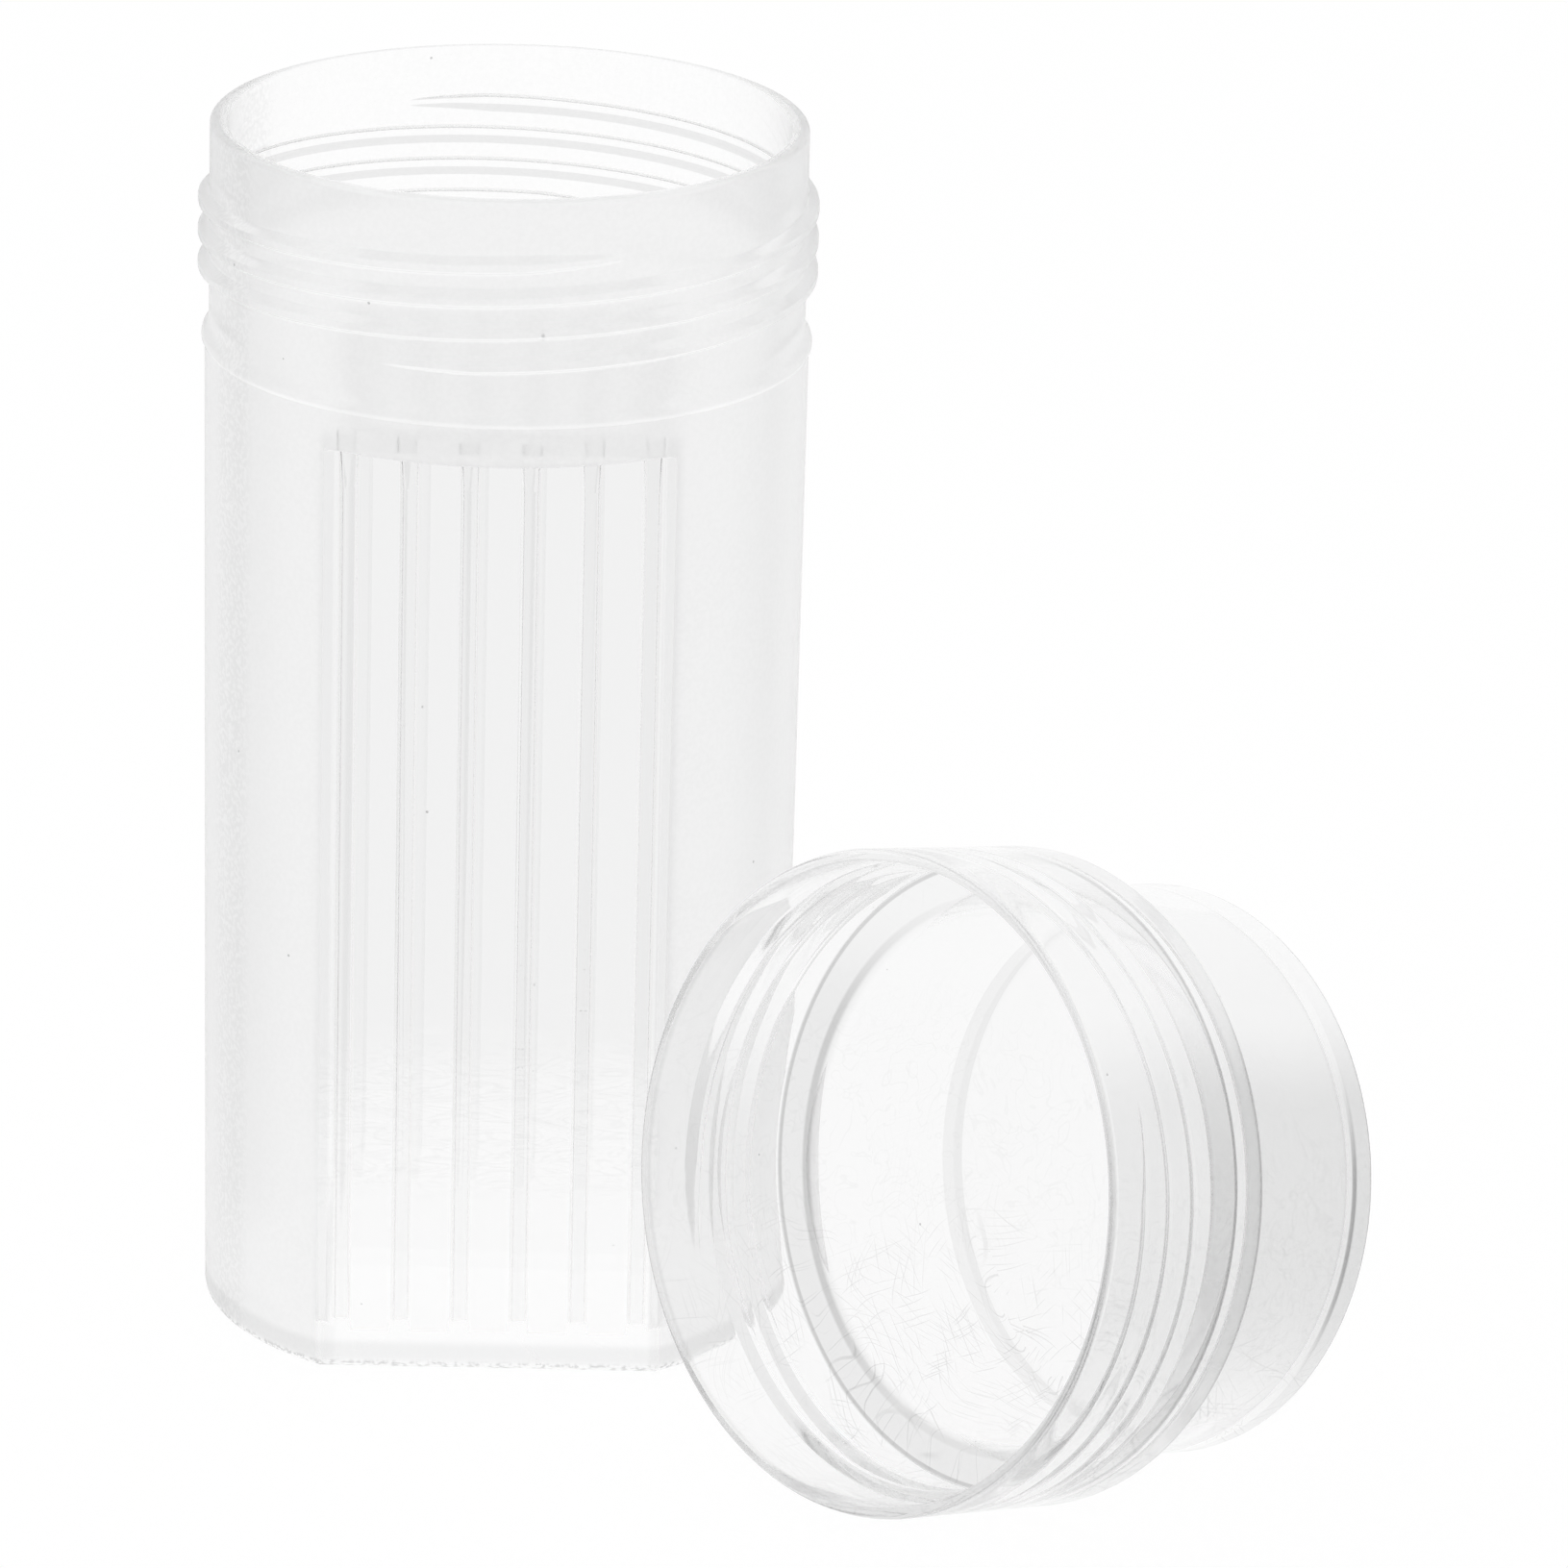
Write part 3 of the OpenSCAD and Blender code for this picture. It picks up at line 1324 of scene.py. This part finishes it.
@dataclass(frozen=True)
class FrostedJar(Plastic):
    """The jar's finish: frosted round the outside, its flats and its inside polished, with painted
    shade on its edges, ribs and foot.
    """

    frost: float = 0.35
    grain_shade: float = 0.04
    grain_size: float = 0.3
    cloud_size: float = 6.0
    blasted_at: float = -16.6
    blasted_half: float = 1.0
    flat_half: float = 10.9
    flat_edge: float = 10.45
    flat_edge_half: float = 0.35
    wave_size: float = 3.0
    front_sway: float = 14.0
    front: tuple[float, float] = (19.0, 31.0)
    far_front: tuple[float, float] = (8.0, 12.0)
    stripe_turns: float = 3.6
    stripes_at: float = 16.5
    stripes_half: float = 4.5
    pits_at: tuple[float, float] = (3.7, 14.0)
    pits_half: tuple[float, float] = (2.6, 5.0)
    foot_band: float = 1.2

    def wavy_front_greys(self, skin: Skin, waves: Feed, flats: Feed) -> list[Shade]:
        """Greys on the flats: darker above a line low down, wavy on the near flat, with wavy
        stripes near it, and painted shade on strips along the flats' side edges.

        Args:
            skin: The skin.
            waves: Height of the flow waves.
            flats: Mask of the polished flats.

        Returns:
            The greys' shades and masks.
        """
        graph = skin.graph
        x, y, z = graph.split(skin.place)
        near_side = graph.math("LESS_THAN", y, 0.0)
        far_side = graph.math("GREATER_THAN", y, 0.0)
        front = graph.math("MULTIPLY_ADD", waves, self.front_sway * MM, z)
        far = graph.product(far_side, graph.ramp(z, *self.far_front, 0.5, 1.0))
        above = graph.greatest(graph.ramp(front, *self.front), far)
        turns = graph.math("SINE", graph.product(front, self.stripe_turns / MM))
        stripes = graph.product(graph.ease(turns, 0.5, 1.0), near_side)
        band = graph.near(z, self.stripes_at, self.stripes_half)
        # painted shade: strips along the flats' side edges are greyed
        rims = graph.near(graph.size(x), self.flat_edge, self.flat_edge_half)
        return [
            (self.wave_shade, graph.product(flats, above)),
            (self.wave_shade * 0.9, graph.product(flats, stripes, band)),
            (self.wave_shade * 1.6, graph.product(flats, rims)),
        ]

    def roughened_and_shaded(self, skin: Skin, frosted: Feed, grain: Feed) -> list[Shade]:
        """Marks of the blasted mould, uneven grain and a band down the left, and painted shade: the
        frosted skin greyer where it faces the view, except where it faces down, so the thread's
        undersides look lit from below.

        Args:
            skin: The skin.
            frosted: Mask of the frosted skin.
            grain: Fine noise.

        Returns:
            The marks' shades and masks.
        """
        graph = skin.graph
        x = graph.split(skin.place)[0]
        up = graph.split(skin.outward)[2]
        cloud = graph.noise(skin.place, self.cloud_size, 1.0).outputs[0]
        uneven = graph.product(graph.blend(cloud, 0.3, 1.4), graph.ease(grain, 0.35, 0.65))
        left = graph.near(x, self.blasted_at, self.blasted_half)
        not_under = graph.ease(up, -0.5, -0.1)
        return [
            (self.grain_shade, graph.product(uneven, frosted)),
            (self.grain_shade * 2.5, graph.product(left, graph.ease(grain, 0.4, 0.55), frosted)),
            # painted shade: frosted skin greyed except where it faces down, leaving the undersides
            # light as if lit from below
            (self.flank_shade, graph.product(not_under, frosted, graph.opposite(skin.leaving))),
        ]

    def edges(self, jar: Jar, skin: Skin, polished: Feed, ribs: Feed) -> list[Shade]:
        """Painted shade: grey outlines where the skin is seen edge-on, grey ribs with darker left
        faces, and dark lines on the far side's thread.

        Args:
            jar: The jar, for its sizes.
            skin: The skin.
            polished: Mask of the polished skin.
            ribs: Mask of the ribs.

        Returns:
            The painted shades and their masks.
        """
        graph = skin.graph
        x, y, z = graph.split(skin.place)
        sideways, _, up = graph.split(skin.outward)
        behind = graph.greatest(polished, skin.leaving)
        plain = graph.math("MULTIPLY_ADD", ribs, -0.6, 1.0)
        level = graph.ease(up, 0.1, 0.8, 1.0, 0.0)
        walls = graph.ramp(z, jar.floor + 1, jar.floor + 1.8)
        outline = graph.product(self.outline(graph), behind, level, plain, walls)
        ridges = graph.product(
            graph.ease(graph.size(up), 0.2, 0.5),
            graph.beyond(graph.from_axis(x, y), jar.neck + 0.08),
            graph.beyond(z, jar.collar + 1.4),
            graph.beyond(y, 0.0),
            skin.leaving,
        )
        left_faces = graph.product(ribs, graph.ease(sideways, -0.7, -0.3, 1.0, 0.0))
        # painted shade: outlines, ribs, the far thread's lines and the ribs' left faces are greyed
        # in the colour
        return [
            (self.outline_shade, outline),
            (self.side_shade * 0.2, ribs),
            (self.side_shade * 0.9, ridges),
            (self.crease_shade * 0.25, left_faces),
        ]

    def blemishes_and_foot_shade(self, skin: Skin, ribs: Feed, grain: Feed) -> list[Shade]:
        """Specks, tiny pits on two ribs and the foot's rough edge, and painted shade on a grey band
        round the foot.

        Args:
            skin: The skin.
            ribs: Mask of the ribs.
            grain: Fine noise.

        Returns:
            The marks' shades and masks.
        """
        graph = skin.graph
        x, _, z = graph.split(skin.place)
        up = graph.split(skin.outward)[2]
        entering = graph.opposite(skin.leaving)
        specks = graph.use(specks_group(), skin.place, 4.0, 0.09)
        pits = graph.product(
            ribs,
            graph.ease(grain, 0.64, 0.7),
            graph.near(x, self.pits_at[0], self.pits_half[0]),
            graph.near(z, self.pits_at[1], self.pits_half[1]),
            entering,
            0.6,
        )
        # painted shade: a grey band low round the foot, at the height of the floor plate
        band = graph.near(z, self.foot_band, self.foot_band / 2)
        rough_edge = graph.product(
            graph.ramp(z, 0.4, 0.7, 1.0, 0.0),
            graph.ease(up, -0.95, -0.8),
            graph.ease(grain, 0.5, 0.58),
            entering,
        )
        return [
            (self.speck_shade, graph.greatest(specks, pits)),
            (self.side_shade * 0.6, graph.product(band, entering)),
            (self.crease_shade, rough_edge),
        ]

    def dress(self, jar: Jar) -> bpy.types.Material:
        """Make the jar's material.

        Args:
            jar: The jar, for its sizes.

        Returns:
            The material.
        """
        skin = self.start()
        graph = skin.graph
        x, _, z = graph.split(skin.place)
        frosted = graph.use(frosted_skin_group(jar), skin.place)
        polished = graph.opposite(frosted)
        ribs = graph.use(rib_skin_group(jar), skin.place)
        grain = graph.noise(skin.place, self.grain_size).outputs[0]
        upright = graph.vector("MULTIPLY", skin.place, (0.5, 1.0, 2.2)).outputs[0]
        waves = graph.use(flow_waves_group(), upright, self.wave_size)
        middle = graph.ramp(graph.size(x), self.flat_half, self.flat_half + 0.2, 1.0, 0.0)
        below = graph.ramp(z, jar.ledge, jar.shelf, 1.0, 0.0)
        flats = graph.product(polished, middle, below)
        shades = [
            *self.edges(jar, skin, polished, ribs),
            *self.blemishes_and_foot_shade(skin, ribs, grain),
            *self.roughened_and_shaded(skin, frosted, grain),
            *self.wavy_front_greys(skin, waves, flats),
        ]
        roughness = graph.blend(frosted, self.gloss, self.frost)
        return self.close(graph, shades, roughness, graph.product(waves, self.wave_depth))


@dataclass(frozen=True)
class CapPlace:
    """Where a point of the cap's skin lies in the cap's own axes, and which way it faces.

    The local axes are X level, Y up and Z from mouth to dome. The last three say how far the
    skin faces the mouth, the right and up.
    """

    local: Socket
    x: Socket
    y: Socket
    z: Socket
    radius: Socket
    outer: Socket
    mouthward: Socket
    sideways: Socket
    up: Socket


@dataclass(frozen=True)
class ClearCap(Plastic):
    """The cap's finish: polished all over, with swirls, smudges and hairline scratches, and painted
    shade on its edges, creases, right side and mouthward faces, lighter on top.
    """

    clear_shade: float = 0.03
    scratch_shade: float = 0.32
    hairlines: tuple[tuple[float, float, float], ...] = (
        (0.2, 4.5, 0.09),
        (0.9, 2.5, 0.08),
        (1.9, 4.0, 0.09),
        (2.8, 6.0, 0.09),
    )
    bend_size: float = 9.0
    bend: float = 5.0
    wave_size: float = 2.6
    smudge_size: float = 6.0
    smudge_haze: float = 0.06
    worn_below: tuple[float, float] = (-15.0, -3.0)
    worn_behind: tuple[float, float] = (4.0, 12.0)
    # where painted light and painted shade fade in: the lighter top, ring and ridges, the darker
    # ring and rim
    light_top: tuple[float, float] = (30.0, 37.0)
    light_ring: tuple[float, float] = (4.0, 15.0)
    light_ridges: tuple[float, float] = (-4.0, 8.0)
    dark_ring: tuple[float, float] = (2.0, 14.0)
    dark_rim: tuple[float, float] = (-8.0, 6.0)

    def locate(self, cap: ScrewCap, skin: Skin) -> CapPlace:
        """Turn the skin's place into the cap's own axes.

        Args:
            cap: The cap, for its pose and sizes.
            skin: The skin.

        Returns:
            The place and the facing.
        """
        graph = skin.graph
        pose = cap.pose()
        lie = graph.add("Mapping", vector_type="TEXTURE")
        lie.inputs["Location"].default_value = pose.translation
        lie.inputs["Rotation"].default_value = pose.to_euler("XYZ")
        graph.feed(lie.inputs["Vector"], skin.place)
        local = lie.outputs[0]
        x, y, z = graph.split(local)
        radius = graph.from_axis(x, y)
        past_skirt = graph.beyond(z, cap.skirt_length - 0.2)
        limit = graph.blend(past_skirt, (cap.skirt - 0.25) * MM, (cap.dome - 0.3) * MM)
        outer = graph.math("GREATER_THAN", radius, limit)
        mouthward = graph.vector("DOT_PRODUCT", skin.outward, cap.outlook.normalized())
        sideways, _, up = graph.split(skin.outward)
        return CapPlace(local, x, y, z, radius, outer, mouthward.outputs["Value"], sideways, up)

    def scratches(self, cap: ScrewCap, graph: Graph, at: CapPlace, smudge: Feed) -> Socket:
        """Hairlines on the skin unrolled flat: the wall round the axis, the end wall as it is.

        Args:
            cap: The cap, for its sizes.
            graph: The material's graph.
            at: The place on the cap.
            smudge: Soft noise that leaves some of the skin clean.

        Returns:
            A mask.
        """
        turn = graph.math("ARCTAN2", at.x, graph.product(at.y, -1.0))
        unrolled = graph.add("Mix", data_type="VECTOR")
        graph.feed(unrolled.inputs["Factor"], graph.beyond(at.radius, cap.dome - 1.8))
        graph.feed(unrolled.inputs[4], at.local)
        graph.feed(unrolled.inputs[5], graph.join(graph.product(turn, cap.dome * MM), at.z, 0.0))
        drift = graph.noise(at.local, self.bend_size, 0.0).outputs["Color"]
        bend = (self.bend * MM,) * 3
        swayed = graph.vector("MULTIPLY_ADD", drift, bend, unrolled.outputs[1]).outputs[0]
        group = hairlines_group()
        lines = [graph.use(group, swayed, *line) for line in self.hairlines]
        low_side = graph.ramp(at.y, *self.worn_below, 1.0, 0.08)
        deep = graph.ramp(at.z, *self.worn_behind, 0.3, 1.0)
        return graph.product(graph.greatest(*lines), low_side, graph.ease(smudge, 0.36, 0.52), deep)

    def ring(self, graph: Graph, at: CapPlace, radius: Point, height: Point) -> Socket:
        """A thin line round the cap's axis.

        Args:
            graph: The material's graph.
            at: The place on the cap.
            radius: The line's radius and how far it reaches either way.
            height: Its height and how far it reaches either way.

        Returns:
            A mask.
        """
        return graph.product(graph.near(at.radius, *radius), graph.near(at.z, *height))

    def creases(self, cap: ScrewCap, graph: Graph, at: CapPlace, side: Feed) -> Socket:
        """Painted shade: thin dark lines where the cap's profile turns.

        Args:
            cap: The cap, for its sizes.
            graph: The material's graph.
            at: The place on the cap.
            side: Mask of the painted grey on the right side.

        Returns:
            A mask.
        """
        bore = cap.dome - cap.dome_wall + cap.flare
        ceiling = cap.length - cap.end_wall
        upright = graph.near(graph.product(at.up, MM), 0.0, 0.4)
        lower = graph.ramp(at.y, *self.light_ring, 1.0, 0.3)
        leftward = graph.ramp(at.x, *self.dark_ring, 0.35, 1.0)
        outer_ring = self.ring(graph, at, (cap.skirt_inside - 0.2, 0.12), (cap.seat, 0.4))
        inner_ring = self.ring(graph, at, (bore - 0.45, 0.22), (cap.seat + 0.1, 0.4))
        rim = self.ring(graph, at, (cap.skirt_inside, 0.12), (0.0, 0.3))
        return graph.greatest(
            outer_ring,
            graph.product(inner_ring, leftward, lower),
            graph.product(rim, 0.4),
            graph.product(graph.near(at.z, cap.skirt_length - 0.3, 0.22), side),
            graph.product(graph.near(at.z, ceiling - 0.6, 0.2), side, upright, 1.6),
        )

    def greys(self, cap: ScrewCap, skin: Skin, at: CapPlace) -> list[Shade]:
        """Painted shade: greys on the faces that look at the mouth, on the right side and on the
        edges, and painted light on the top seen from outside.

        Args:
            cap: The cap, for its sizes.
            skin: The skin.
            at: The place on the cap.

        Returns:
            The greys' shades and masks.
        """
        graph = skin.graph
        ceiling = cap.length - cap.end_wall
        # painted light: the skirt's top, looked at from outside, is left almost as light as the
        # surroundings
        height = graph.split(skin.place)[2]
        from_outside = graph.size(graph.math("SUBTRACT", at.outer, skin.leaving))
        shaded = graph.opposite(graph.product(from_outside, graph.ramp(height, *self.light_top)))
        # painted light: the thread ridges are left lighter towards the top
        ridges = graph.product(
            graph.opposite(graph.beyond(at.radius, cap.skirt_inside - 0.04)),
            graph.opposite(graph.beyond(at.z, cap.seat - 0.5)),
            graph.ramp(at.y, *self.light_ridges, 0.0, 0.9),
        )
        plain = graph.product(shaded, graph.opposite(ridges))
        upright = graph.ease(graph.size(at.up), 0.1, 0.6, 1.0, 0.0)
        mouthward = graph.product(
            graph.ease(at.mouthward, 0.3, 0.85),
            graph.ramp(at.z, cap.seat, cap.seat + cap.flare, 1.0, 0.0),
            graph.ramp(at.y, *self.light_ring, 1.0, 0.3),
        )
        # painted shade: the outside greyer on its right, fading towards the top and the bottom
        side = graph.product(
            at.outer,
            graph.ease(at.sideways, 0.35, 0.66),
            graph.ease(at.up, 0.45, 0.75, 1.0, 0.0),
            graph.ease(at.up, -0.8, 0.0, 0.3, 1.0),
            graph.ease(at.mouthward, -0.8, -0.4),
        )
        dome_darker = graph.ramp(at.z, cap.skirt_length - 1, cap.skirt_length, 0.65, 1.0)
        corner = graph.near(at.z, ceiling - 0.3, 0.25)
        not_top = graph.ease(at.up, 0.5, 0.9, 1.0, 0.0)
        end_band = graph.product(graph.beyond(at.z, ceiling - 0.6), at.outer, not_top)
        rim_face = graph.near(at.z, 0.0, 0.1)
        rightward = graph.ramp(at.x, *self.dark_rim, 1.0, 0.0)
        # painted shade on the cap's greys, edges, creases, end and rim; the first entry leaves the
        # lit top and upper ridges out
        return [
            (self.clear_shade, plain),
            (self.outline_shade, graph.product(self.outline(graph), upright, shaded)),
            (self.flank_shade, graph.product(mouthward, plain)),
            (self.side_shade, graph.product(side, dome_darker)),
            (self.side_shade * 0.3, graph.product(corner, graph.opposite(at.outer))),
            (self.side_shade * 0.5, end_band),
            (self.side_shade * 0.2, graph.near(at.z, 0.0, 0.2)),
            (self.side_shade * 0.4, graph.product(rim_face, rightward)),
            (self.crease_shade, self.creases(cap, graph, at, side)),
        ]

    def dress(self, cap: ScrewCap) -> bpy.types.Material:
        """Make the cap's material.

        Args:
            cap: The cap, for its pose and sizes.

        Returns:
            The material.
        """
        skin = self.start()
        graph = skin.graph
        at = self.locate(cap, skin)
        smudge = graph.noise(at.local, self.smudge_size, 2.0, 0.6).outputs[0]
        waves = graph.use(flow_waves_group(), at.local, self.wave_size)
        swirl = graph.near(graph.product(waves, MM), 0.55, 0.012)
        shades = [
            *self.greys(cap, skin, at),
            (self.speck_shade, graph.use(specks_group(), at.local, 5.0, 0.08)),
            (self.scratch_shade, self.scratches(cap, graph, at, smudge)),
            (self.wave_shade, graph.product(swirl, graph.near(at.y, -2.0, 8.0))),
        ]
        hazy = graph.ease(smudge, 0.45, 0.75)
        roughness = graph.math("MULTIPLY_ADD", hazy, self.smudge_haze, self.gloss)
        return self.close(graph, shades, roughness, graph.product(waves, self.wave_depth))


JAR_FINISH = FrostedJar("frosted_polypropylene")
CAP_FINISH = ClearCap("clear_polypropylene", tint=0.985, flank_shade=0.24, wave_depth=0.003)


# ---------------------------------------------------------------- the studio


@dataclass(frozen=True)
class Studio:
    """Pale floor, soft light and the camera. Lengths are in millimetres, angles in degrees."""

    azimuth: float = 0.66
    elevation: float = 19.03
    roll: float = 1.41
    distance: float = 650.34
    lens: float = 237.05
    aim_right: float = 17.87
    aim_height: float = 34.2
    side_level: float = 0.98
    side_from: float = 0.7
    side_to: float = 0.97
    fill_level: float = 0.95
    floor_colour: float = 0.93
    floor_glow: float = 0.95
    key_power: float = 2.0
    key_size: float = 700.0
    key_place: tuple[float, float, float] = (-500.0, -500.0, 900.0)
    floor_size: float = 6000.0
    floor_gap: float = 0.1
    bounces: int = 16

    def white_rays(self, graph: Graph) -> tuple[bpy.types.NodeSocket, bpy.types.NodeSocket]:
        """Masks for the rays that meet a white background.

        Args:
            graph: The graph to add to.

        Returns:
            A mask for rays straight from the camera and one for rays reflected or refracted.
        """
        path = graph.add("LightPath")
        bent = graph.greatest(path.outputs["Is Glossy Ray"], path.outputs["Is Transmission Ray"])
        return path.outputs["Is Camera Ray"], bent

    def world(self) -> None:
        """Light everything softly, a little dimmer at the sides, with white behind it."""
        world = bpy.data.worlds.new("studio")
        bpy.context.scene.world = world
        world.use_nodes = True
        world.cycles.sampling_method = "NONE"
        graph = Graph(world.node_tree)
        background = world.node_tree.nodes["Background"]
        background.inputs["Color"].default_value = (1, 1, 1, 1)
        straight, bent = self.white_rays(graph)
        sideways = graph.size(graph.split(graph.add("TexCoord").outputs["Generated"])[0])
        walls = graph.ease(sideways, self.side_from, self.side_to, 1.0, self.side_level)
        level = graph.blend(bent, self.fill_level, walls)
        graph.feed(background.inputs["Strength"], graph.greatest(level, straight))

    def floor(self) -> None:
        """Lay a pale floor that keeps a soft shadow."""
        deselect_all()
        place = (0, 0, -self.floor_gap * MM)
        bpy.ops.mesh.primitive_plane_add(size=self.floor_size * MM, location=place)
        floor = bpy.context.object
        floor.name = "floor"
        material = bpy.data.materials.new("white_table")
        material.use_nodes = True
        material.cycles.emission_sampling = "NONE"
        graph = Graph(material.node_tree)
        graph.tree.nodes.remove(graph.tree.nodes["Principled BSDF"])
        paint = graph.add("BsdfDiffuse")
        paint.inputs["Color"].default_value = (self.floor_colour,) * 3 + (1,)
        straight, bent = self.white_rays(graph)
        glow = graph.add("Emission")
        share = graph.product(graph.greatest(straight, bent), self.floor_glow)
        mix = graph.add("MixShader")
        for socket, value in zip(mix.inputs, (share, paint.outputs[0], glow.outputs[0])):
            graph.feed(socket, value)
        graph.feed(graph.tree.nodes["Material Output"].inputs["Surface"], mix.outputs[0])
        floor.data.materials.append(material)

    def key_lamp(self) -> None:
        """Hang a soft square lamp that looks at the object."""
        light = bpy.data.lights.new("key_lamp", "AREA")
        light.shape = "SQUARE"
        light.size = self.key_size * MM
        light.energy = self.key_power
        lamp = bpy.data.objects.new("key_lamp", light)
        bpy.context.scene.collection.objects.link(lamp)
        lamp.location = Vector(self.key_place) * MM
        lamp.rotation_euler = (-lamp.location).to_track_quat("-Z", "Y").to_euler()

    def camera(self) -> None:
        """Set the camera at its viewing angle."""
        around, down, roll = (math.radians(a) for a in (self.azimuth, self.elevation, self.roll))
        level = math.cos(down)
        forward = Vector((math.sin(around) * level, math.cos(around) * level, -math.sin(down)))
        right = Vector((math.cos(around), -math.sin(around), 0))
        up = right.cross(forward)
        across_view = right * math.cos(roll) + up * math.sin(roll)
        up_view = up * math.cos(roll) - right * math.sin(roll)
        target = right * self.aim_right * MM + Vector((0, 0, self.aim_height * MM))
        data = bpy.data.cameras.new("camera")
        data.lens = self.lens
        data.clip_start = 0.01
        camera = bpy.data.objects.new("camera", data)
        bpy.context.scene.collection.objects.link(camera)
        turn = Matrix((across_view, up_view, -forward)).transposed().to_4x4()
        camera.matrix_world = Matrix.Translation(target - forward * self.distance * MM) @ turn
        bpy.context.scene.camera = camera

    def set_up(self) -> None:
        """Set the whole studio."""
        scene = bpy.context.scene
        scene.view_settings.view_transform = "Standard"
        for kind in ("max", "transmission", "glossy", "diffuse", "volume"):
            setattr(scene.cycles, f"{kind}_bounces", self.bounces)
        scene.cycles.blur_glossy = 0.0
        self.camera()
        self.world()
        self.floor()
        self.key_lamp()


# ---------------------------------------------------------------- putting it together


def mount(frame: dict, name: str) -> dict:
    """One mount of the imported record.

    Args:
        name: The mount's name.

    Returns:
        The mount.
    """
    return next(m for m in frame["record"]["mounts"] if m["name"] == name)


def dress(piece: bpy.types.Object, material: bpy.types.Material, node: str) -> None:
    """Give a piece its material and put it in the place of a node.

    Args:
        piece: The piece.
        material: Its material.
        node: The node it stands for.
    """
    piece.data.materials.clear()
    piece.data.materials.append(material)
    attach(piece, "root")
    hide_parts(node)
    LOG.info("%s: %d faces, %d open edges", piece.name, len(piece.data.polygons), open_edges(piece))


def main() -> None:
    """Build the jar, the cap and the studio."""
    logging.basicConfig(level=logging.INFO, format="%(message)s")
    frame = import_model()
    _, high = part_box("jar")
    opening = mount(frame, "mouth")
    cap_mount = mount(frame, "cap_thread")

    Studio().set_up()
    jar = Jar(height=high[2] / MM, bore=opening["dims"]["r_mm"])
    dress(jar.build(), JAR_FINISH.dress(jar), "jar")
    cap = ScrewCap(mouth=Vector(cap_mount["pos_m"]), outlook=Vector(cap_mount["axis"]))
    dress(cap.build(), CAP_FINISH.dress(cap), "screw_cap")


if __name__ == "__main__":
    main()
